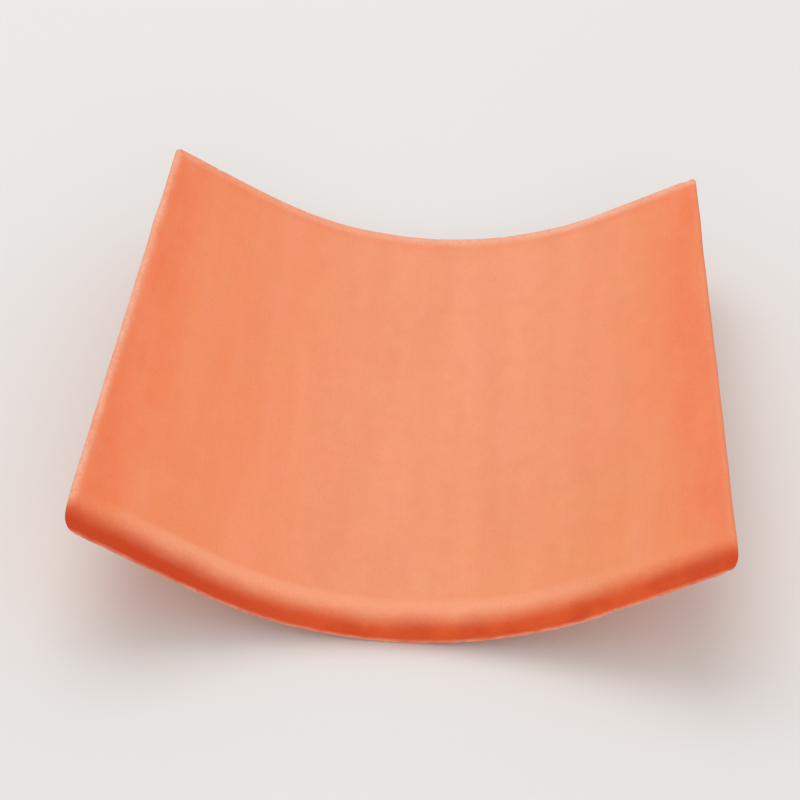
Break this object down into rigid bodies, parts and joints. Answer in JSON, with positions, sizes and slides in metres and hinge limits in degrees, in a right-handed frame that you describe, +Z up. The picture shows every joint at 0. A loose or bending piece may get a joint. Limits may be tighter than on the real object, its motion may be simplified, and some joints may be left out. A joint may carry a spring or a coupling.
{
  "type": "clay roof tile",
  "caption": "Tapered trough-shaped pan tile of fired clay with a rolled nose, laid hollow side up to carry rainwater down a roof slope.",
  "frame": {"origin": "middle of the tile in plan, at the level of the lowest line of its curved back", "axes": "+X across the trough, +Y along the trough from the rolled nose to the square head, +Z up out of the trough"},
  "size_m": [0.2082, 0.2, 0.0503],
  "materials": {
    "fired_clay": "matte unglazed fired clay"
  },
  "bodies": {
    "root": {"pan_tile": "fired_clay"}
  },
  "joints": []
}
